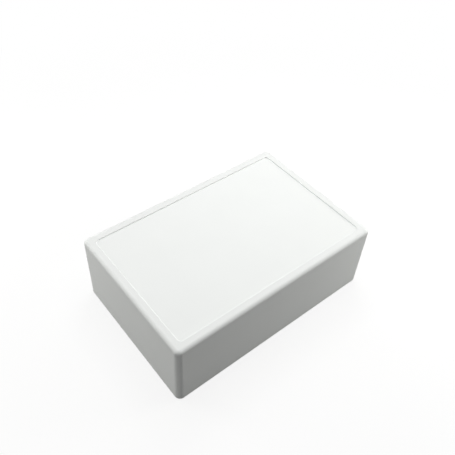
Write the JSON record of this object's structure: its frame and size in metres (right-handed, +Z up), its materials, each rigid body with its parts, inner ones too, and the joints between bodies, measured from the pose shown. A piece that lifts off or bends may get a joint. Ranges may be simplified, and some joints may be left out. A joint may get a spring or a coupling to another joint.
{
  "type": "plastic project box",
  "caption": "Low rectangular plastic project box with rounded edges, a framed label recess on top and a base cover held by countersunk screws.",
  "frame": {"origin": "centre of the base, on the surface that the box stands on", "axes": "+X along the length, +Y across the width, +Z up through the label recess"},
  "size_m": [0.12, 0.08, 0.039],
  "materials": {
    "box_plastic": "moulded white plastic, satin, with a smoother label recess",
    "screw_steel": "zinc-plated steel, slightly dull"
  },
  "bodies": {
    "root": {"housing": "box_plastic", "base_cover": "box_plastic", "cover_screws": "screw_steel"}
  },
  "joints": []
}
